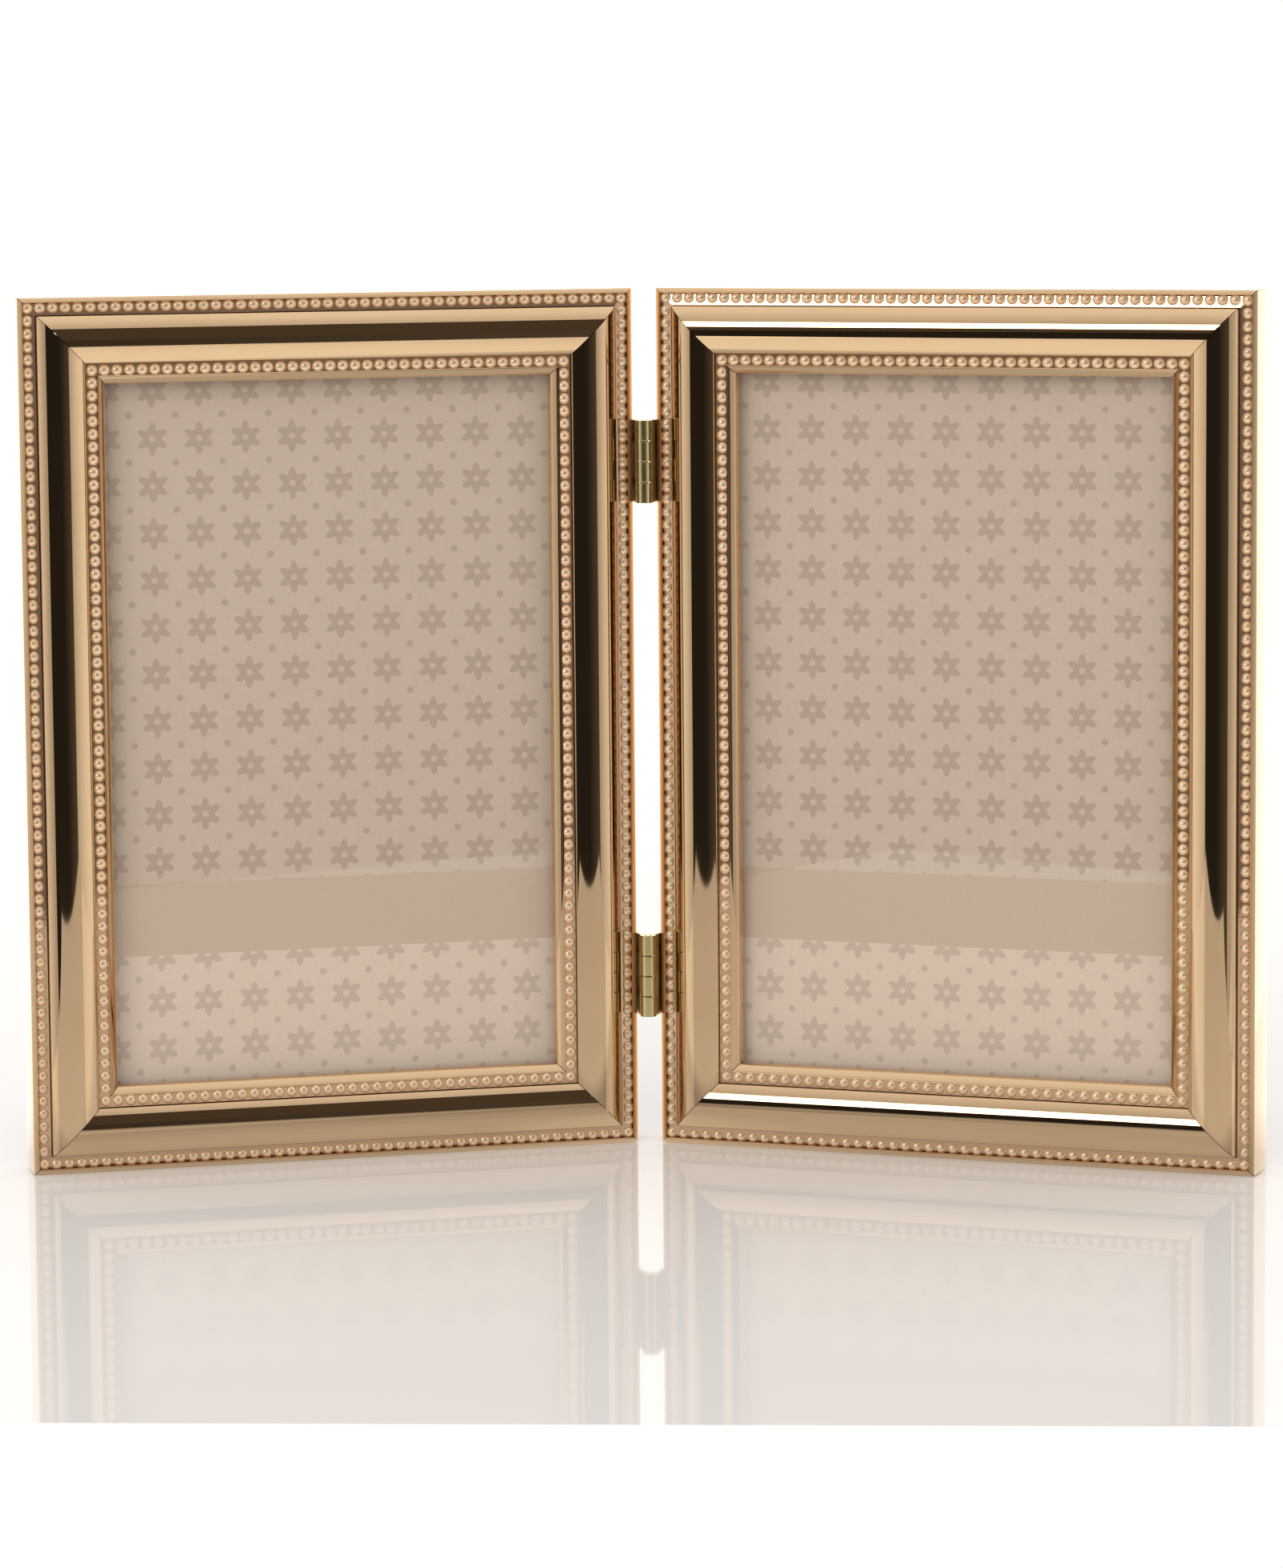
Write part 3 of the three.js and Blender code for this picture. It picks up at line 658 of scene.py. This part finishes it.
glass, tree, output = new_finish("picture_glass")
film = noise(tree, object_place(tree), Scale=40.0, Detail=4.0)
pane = add_node(tree, "ShaderNodeBsdfPrincipled",
                {"Base Color": GLASS_TINT, "Roughness": ranged(tree, film, *HAZY, 0.0, HAZE),
                 "IOR": GLOSS_IOR, "Transmission Weight": 1.0})
clear = add_node(tree, "ShaderNodeBsdfTransparent", {"Color": GLASS_SHADE})
glass_ray = add_node(tree, "ShaderNodeLightPath").outputs
passing = value_of(tree, "MAXIMUM", glass_ray["Is Shadow Ray"], glass_ray["Is Diffuse Ray"])
show(tree, layered(tree, passing, pane, clear), output)
for side in SIDES:
    cover(f"{side}_glass", glass)


# Printed insert
# A sheet of matt printed paper behind the glass, as frames are sold with: warm grey-beige with a tone-on-tone
# pattern of small daisies in straight rows, dots between them, and a bare band across the lower part.
# Below the band the paper is painted paler, as painted light that evens out the weaker light low down.
PAPER, PAPER_MOTIF, PAPER_BAND = tone(210, 187, 168), tone(191, 167, 149), tone(203, 176, 152)
LOWER_PAINTED_LIGHT, FIBRES, FIBRE_SHADES = 1.14, (0.2, 0.8), (0.96, 1.03)
DAISY_CELL, DAISY_R, PETAL_R, PETALS, HEART_R, DOT_R = 9.6 * MM, 0.27, 0.075, 6, (0.055, 0.08), 0.075
INK_EDGE, BAND_EDGE, BAND_FOOT, BAND_HEAD = 0.012, 0.05 * MM, 43.2 * MM, 58.0 * MM


def soft_step(tree, value, low, high):
    """From 0 to 1 as a value passes from low to high."""
    step = add_node(tree, "ShaderNodeMapRange", {"Value": value, "From Min": low, "From Max": high},
                    interpolation_type="SMOOTHSTEP")
    return step.outputs["Result"]


def length_of(tree, x, z):
    """How far a point lies from the middle that x and z are measured from."""
    return value_of(tree, "SQRT", value_of(tree, "ADD", product(tree, x, x), product(tree, z, z)))


def inked(tree, depth):
    """1 inside a motif, where the depth from its edge is above 0, with a soft edge."""
    return soft_step(tree, depth, -INK_EDGE, INK_EDGE)


for side, hand in SIDES.items():
    paper, tree, output = new_finish(f"{side}_printed_paper")
    turn = Matrix.Rotation(hand * HALF_TURN, 4, "Z")
    on_half = add_node(tree, "ShaderNodeMapping",
                       {"Vector": object_place(tree), "Location": -(turn @ FOLD_AXIS),
                        "Rotation": (0, 0, hand * HALF_TURN)}).outputs[0]
    across, _, up = axes(tree, on_half)
    counted = [value_of(tree, "DIVIDE", way, DAISY_CELL) for way in (across, up)]
    cells = [value_of(tree, "SUBTRACT", value_of(tree, "FRACT", count), 0.5) for count in counted]
    corners = [value_of(tree, "SUBTRACT", 0.5, value_of(tree, "ABSOLUTE", part)) for part in cells]
    away = length_of(tree, *cells)
    waves = value_of(tree, "COSINE", product(tree, value_of(tree, "ARCTAN2", *cells), PETALS))
    edge = value_of(tree, "ADD", product(tree, waves, PETAL_R), DAISY_R)
    daisy = product(tree, inked(tree, value_of(tree, "SUBTRACT", edge, away)),
                    soft_step(tree, away, *HEART_R))
    dot = inked(tree, value_of(tree, "SUBTRACT", DOT_R, length_of(tree, *corners)))
    motif = value_of(tree, "MAXIMUM", daisy, dot)
    above = soft_step(tree, up, BAND_FOOT - BAND_EDGE, BAND_FOOT + BAND_EDGE)
    below = soft_step(tree, up, BAND_HEAD + BAND_EDGE, BAND_HEAD - BAND_EDGE)
    ink = mixed(tree, product(tree, above, below), mixed(tree, motif, PAPER, PAPER_MOTIF), PAPER_BAND)
    fibre = noise(tree, on_half, Scale=1400.0, Detail=3.0)
    # The paper below the band is painted paler: painted light.
    shade = product(tree, ranged(tree, fibre, *FIBRES, *FIBRE_SHADES),
                    ranged(tree, above, 0.0, 1.0, LOWER_PAINTED_LIGHT, 1.0))
    fibred = add_node(tree, "ShaderNodeVectorMath", {0: ink, "Scale": shade}, operation="SCALE").outputs[0]
    show(tree, add_node(tree, "ShaderNodeBsdfPrincipled",
                        {"Base Color": fibred, "Roughness": 0.6, "Specular IOR Level": 0.25,
                         "Normal": raised(tree, fibre, Strength=0.08, Distance=0.1 * MM)}), output)
    cover(f"{side}_insert_print", paper)


# Filler card and back board
# Behind the print lie a sheet of grey filler card and a pressed fibre board, both die-cut.
# Their solids' shapes are right, so they stay and only take their finish.
for node, (light, dark, grain, rough) in {
    "filler_card": (tone(203, 199, 190), tone(176, 171, 160), 700.0, 0.85),
    "back_board": (tone(122, 92, 66), tone(88, 63, 44), 420.0, 0.8),
}.items():
    pulp, tree, output = new_finish(f"{node}_pulp")
    spot = noise(tree, object_place(tree), Scale=grain, Detail=5.0, Roughness=0.65, Distortion=0.6)
    show(tree, add_node(tree, "ShaderNodeBsdfPrincipled",
                        {"Base Color": mixed(tree, spot, light, dark), "Roughness": rough,
                         "Normal": raised(tree, spot, Strength=0.25, Distance=0.2 * MM)}), output)
    for side in SIDES:
        cover(f"{side}_{node}", pulp)


# Velvet back
# The board's back is covered with black velvet, cut with rounded corners and glued down flat.
# The short pile softens its rim and glows at a glancing angle.
VELVET_CORNER, VELVET_STEPS, VELVET_RIM, VELVET_SMOOTH = 2.0 * MM, 6, 0.14 * MM, 50
velvet, tree, output = new_finish("black_velvet")
where = object_place(tree)
pile = noise(tree, where, Scale=2600.0, Detail=2.0)
brushed = noise(tree, where, Scale=28.0, Detail=3.0, Distortion=1.2)
show(tree, add_node(tree, "ShaderNodeBsdfPrincipled",
                    {"Base Color": mixed(tree, brushed, tone(17, 16, 18), tone(38, 36, 40)),
                     "Roughness": 0.95, "Specular IOR Level": 0.1,
                     "Sheen Weight": 0.35, "Sheen Roughness": 0.4, "Sheen Tint": tone(150, 146, 156),
                     "Normal": raised(tree, pile, Strength=0.6, Distance=0.3 * MM)}), output)


def velvet_back(low, high):
    """The cloth cut to a board's size, given its thickness and a soft rim."""
    cloth = upright_plate(high.x - low.x, high.z - low.z, FACING_BACK)
    bpy.ops.object.mode_set(mode="EDIT")
    bpy.ops.mesh.select_all(action="SELECT")
    bpy.ops.mesh.bevel(offset=VELVET_CORNER, segments=VELVET_STEPS, affect="VERTICES")
    bpy.ops.object.mode_set(mode="OBJECT")
    add_modifier(cloth, "SOLIDIFY", thickness=high.y - low.y, offset=0)
    break_edges(cloth, VELVET_RIM, steps=3, sharp=60)
    smooth(cloth, VELVET_SMOOTH)
    return cloth


pattern = velvet_back(*half_box("right", "right_back_velvet"))
for side in SIDES:
    low, high = half_box(side, f"{side}_back_velvet")
    cloth = copy_to(pattern, f"{side}_velvet_back", half_place(side) @ Matrix.Translation((low + high) / 2))
    dress(cloth, velvet, "velvet", f"{side}_back_velvet")
bpy.data.objects.remove(pattern)


# Turn buttons
# Four flat spring-brass buttons per half, stamped with a round end and a narrower tip, and pressed with a
# finger dent. Each turns on a rivet in the rail's back flange and holds the board in.
BUTTON_INSET, BUTTON_W, BUTTON_TIP, BUTTON_REACH = 3.7 * MM, 6.4 * MM, 4.0 * MM, 8.0 * MM
BUTTON_FRONT, BUTTON_T, BUTTON_DENT, BUTTON_RIM = 10.3 * MM, 0.8 * MM, 0.18 * MM, 1.1 * MM
TIP_ROUND, TIP_STEPS, END_ROUND, END_STEPS = 1.1 * MM, 5, BUTTON_W * 0.47, 10
BUTTON_EDGE, BUTTON_ROUGH = 0.12 * MM, (0.16, 0.26)


def turn_button():
    """The stamped outline, given its thickness, a pressed finger dent and broken edges."""
    button = upright_plate(BUTTON_W, BUTTON_REACH + BUTTON_W / 2, FACING_BACK)
    middle = BUTTON_INSET + BUTTON_REACH / 2 - BUTTON_W / 4
    bpy.ops.object.mode_set(mode="EDIT")
    bpy.ops.mesh.select_all(action="SELECT")
    bpy.ops.transform.translate(value=(0, BUTTON_FRONT + BUTTON_T, middle))
    pick_points(button, lambda point: point.z > BUTTON_INSET)
    bpy.ops.transform.resize(value=(BUTTON_TIP / BUTTON_W, 1, 1))
    bpy.ops.mesh.bevel(offset=TIP_ROUND, segments=TIP_STEPS, affect="VERTICES")
    pick_points(button, lambda point: point.z < BUTTON_INSET)
    bpy.ops.mesh.bevel(offset=END_ROUND, segments=END_STEPS, affect="VERTICES")
    bpy.ops.mesh.select_all(action="SELECT")
    bpy.ops.mesh.inset(thickness=BUTTON_RIM)
    bpy.ops.transform.translate(value=(0, -BUTTON_DENT, 0))
    bpy.ops.object.mode_set(mode="OBJECT")
    add_modifier(button, "SOLIDIFY", thickness=BUTTON_T - BUTTON_DENT, offset=-1)
    break_edges(button, BUTTON_EDGE)
    smooth(button)
    return button


button_gold = gold_finish("stamped_gold_plate", "Object", BUTTON_ROUGH)
pattern = turn_button()
for side in SIDES:
    for part in PARTS:
        button = copy_to(pattern, f"{side}_{part}_back_button", rail_place(side, part))
        dress(button, button_gold, "gold_plate", f"{side}_{part}_turn_button")
bpy.data.objects.remove(pattern)


# Button rivets
# Each turn button pivots on a small brass rivet with a domed head, turned from rod and plated like the
# button. It passes through the button and the rail's back flange, loose enough to let the button turn.
RIVET_SHANK, RIVET_HEAD, RIVET_CROWN, RIVET_RIM = 1.0 * MM, 1.9 * MM, 0.72 * MM, 0.1 * MM
RIVET_SINK, RIVET_EDGE, DOME_STEPS = 0.02 * MM, 0.05 * MM, 8
LATHE_STEPS, LATHE_MERGE = 24, 0.002 * MM


def lathed(outline, steps=LATHE_STEPS):
    """A turned piece: an outline of (radius, distance back) spun about Y and closed."""
    points = [Vector((radius, back, 0)) for radius, back in outline]
    piece = start_point(points[0])
    for before, after in zip(points, points[1:]):
        draw_to(before, after)
    bpy.ops.mesh.select_all(action="SELECT")
    bpy.ops.mesh.spin(steps=steps, angle=math.radians(360), center=(0, 0, 0), axis=(0, 1, 0))
    bpy.ops.mesh.select_all(action="SELECT")
    bpy.ops.mesh.remove_doubles(threshold=LATHE_MERGE)
    bpy.ops.mesh.normals_make_consistent(inside=False)
    bpy.ops.object.mode_set(mode="OBJECT")
    smooth(piece)
    return piece


def domed_rivet():
    """A plain shank with a low domed head behind it."""
    front, back = (corner.y - LIP_Y for corner in half_box("right", "right_bottom_button_rivet"))
    head = back - RIVET_CROWN + RIVET_SINK
    rise = back - head - RIVET_RIM
    angles = [math.radians(90 * step / DOME_STEPS) for step in range(DOME_STEPS - 1, -1, -1)]
    dome = [(RIVET_HEAD * math.sin(angle), back - rise * (1 - math.cos(angle))) for angle in angles]
    return lathed([(0, front), (RIVET_SHANK, front), (RIVET_SHANK, head), (RIVET_HEAD - RIVET_EDGE, head),
                   (RIVET_HEAD, head + RIVET_EDGE)] + dome)


pattern = domed_rivet()
for side in SIDES:
    for part in PARTS:
        place = rail_place(side, part) @ Matrix.Translation((0, 0, BUTTON_INSET))
        rivet = copy_to(pattern, f"{side}_{part}_button_stud", place)
        dress(rivet, button_gold, "gold_plate", f"{side}_{part}_button_rivet")
bpy.data.objects.remove(pattern)


# Hinge leaves
# Two small brass butt hinges join the halves. A leaf is stamped from drawn strip, rolled round the pin into
# two knuckles and riveted to the rail's side wall.
HINGES = ("upper", "lower")
LEAF_X, LEAF_T, LEAF_END, LEAF_NOTCH = 0.9 * MM, 0.7 * MM, 11.6 * MM, 2.0 * MM
LEAF_EDGE, LEAF_SMOOTH = 0.09 * MM, 20
KNUCKLE_MEAN, KNUCKLE_GAP, KNUCKLE_STEPS, KNUCKLE_TURN = 1.3 * MM, 0.1 * MM, 30, math.radians(328)
BRASS, BRASS_LINES, BRASS_ROUGH = (tone(230, 212, 158), tone(206, 184, 124)), (0.3, 0.7), (0.24, 0.31)
brass, tree, output = new_finish("drawn_brass")
drawn = add_node(tree, "ShaderNodeMapping", {"Vector": object_place(tree), "Scale": (900, 900, 25)})
lines = noise(tree, drawn.outputs[0], Scale=1.0, Detail=3.0)
show(tree, add_node(tree, "ShaderNodeBsdfPrincipled",
                    {"Base Color": mixed(tree, lines, *BRASS), "Metallic": 1.0,
                     "Roughness": ranged(tree, lines, *BRASS_LINES, *BRASS_ROUGH),
                     "Normal": raised(tree, lines, Strength=0.08, Distance=0.1 * MM)}), output)

leaf_low, leaf_high = half_box("right", "upper_hinge_right_leaf")
LEAF_HEIGHT = leaf_high.z - leaf_low.z


def right_leaf():
    """The strip rolled round the pin, pulled up in steps, with the other leaf's knuckles cut out."""
    quarter = LEAF_HEIGHT / 4
    root = math.sqrt(KNUCKLE_MEAN ** 2 - LEAF_X ** 2)
    line = [Vector((LEAF_X, y, -2 * quarter)) for y in (LEAF_END, LEAF_NOTCH, root)]
    leaf = start_point(line[0])
    draw_to(line[0], line[1])
    draw_to(line[1], line[2])
    bpy.ops.mesh.spin(steps=KNUCKLE_STEPS, angle=KNUCKLE_TURN, center=(0, 0, -2 * quarter), axis=(0, 0, 1))
    bpy.ops.mesh.select_all(action="SELECT")
    height = -2 * quarter
    for level in (-quarter - KNUCKLE_GAP, -quarter + KNUCKLE_GAP, -KNUCKLE_GAP, KNUCKLE_GAP,
                  quarter - KNUCKLE_GAP, quarter + KNUCKLE_GAP, 2 * quarter):
        bpy.ops.mesh.extrude_region_move(TRANSFORM_OT_translate={"value": (0, 0, level - height)})
        height = level
    own = ((-2 * quarter, -quarter - KNUCKLE_GAP), (KNUCKLE_GAP, quarter - KNUCKLE_GAP))
    bpy.ops.mesh.select_mode(type="FACE")
    bpy.ops.mesh.select_all(action="DESELECT")
    bpy.ops.object.mode_set(mode="OBJECT")
    for face in leaf.data.polygons:
        kept = any(low < face.center.z < high for low, high in own)
        face.select = face.center.y < LEAF_NOTCH and not kept
    bpy.ops.object.mode_set(mode="EDIT")
    bpy.ops.mesh.delete(type="FACE")
    bpy.ops.mesh.select_all(action="SELECT")
    bpy.ops.mesh.normals_make_consistent(inside=False)
    bpy.ops.object.mode_set(mode="OBJECT")
    add_modifier(leaf, "SOLIDIFY", thickness=LEAF_T, offset=0)
    break_edges(leaf, LEAF_EDGE)
    smooth(leaf, LEAF_SMOOTH)
    return leaf


pattern = right_leaf()
for hinge in HINGES:
    middle = sum(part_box(f"{hinge}_hinge_right_leaf"), Vector()).z / 2
    for side in SIDES:
        turn = Matrix.Rotation(math.radians(0 if side == "right" else 180), 4, "Y")
        place = half_place(side) @ Matrix.Translation((0, 0, middle)) @ turn
        leaf = copy_to(pattern, f"{hinge}_{side}_rolled_leaf", place)
        dress(leaf, brass, "hinge_brass", f"{hinge}_hinge_{side}_leaf")
bpy.data.objects.remove(pattern)


# Hinge pins
# A drawn brass pin runs through the four knuckles of each hinge, its ends rounded over.
# The tight knuckles hold it, and their friction keeps the frames open at their angle.
PIN_END = 0.25 * MM


def drawn_pin(low, high):
    """A plain rod with broken ends."""
    radius, half = (high.x - low.x) / 2, (high.z - low.z) / 2
    return lathed([(0, -half), (radius - PIN_END, -half), (radius, -half + PIN_END), (radius, half - PIN_END),
                   (radius - PIN_END, half), (0, half)])


pattern = drawn_pin(*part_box("upper_hinge_pin"))
for hinge in HINGES:
    low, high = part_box(f"{hinge}_hinge_pin")
    upright = Matrix.Rotation(math.radians(90), 4, "X")
    pin = copy_to(pattern, f"{hinge}_drawn_pin", Matrix.Translation((low + high) / 2) @ upright)
    dress(pin, brass, "hinge_brass", f"{hinge}_hinge_pin")
bpy.data.objects.remove(pattern)


# Leaf rivets
# Two countersunk brass rivets fix each leaf to its rail's side wall.
# Their flat heads lie a hair proud of the leaf, on the side of the fold.
STUD_STEPS, STUD_SHANK, STUD_SINK = 20, 0.6, 0.5 * MM
STUD_RIM, STUD_EDGE, STUD_FLAT = 0.12 * MM, (0.93, 0.04 * MM), 0.6


def leaf_rivet(low, high):
    """A shank with a cone under a flat head, its rim rounded off."""
    length, head = high.x - low.x, (high.z - low.z) / 2
    shank, (edge, drop) = head * STUD_SHANK, STUD_EDGE
    return lathed([(0, 0), (shank, 0), (shank, length - STUD_SINK), (head, length - STUD_RIM),
                   (head * edge, length - drop), (head * STUD_FLAT, length), (0, length)], STUD_STEPS)


pattern = leaf_rivet(*half_box("right", "upper_hinge_right_rivet_1"))
for hinge in HINGES:
    for side, hand in SIDES.items():
        for number in (1, 2):
            node = f"{hinge}_hinge_{side}_rivet_{number}"
            low, high = half_box(side, node)
            shank_end = high.x if hand > 0 else low.x
            place = (
                half_place(side)
                @ Matrix.Translation((shank_end, (low.y + high.y) / 2, (low.z + high.z) / 2))
                @ Matrix.Rotation(math.radians(90 * hand), 4, "Z")
            )
            rivet = copy_to(pattern, f"{hinge}_{side}_leaf_stud_{number}", place)
            dress(rivet, brass, "hinge_brass", node)
bpy.data.objects.remove(pattern)
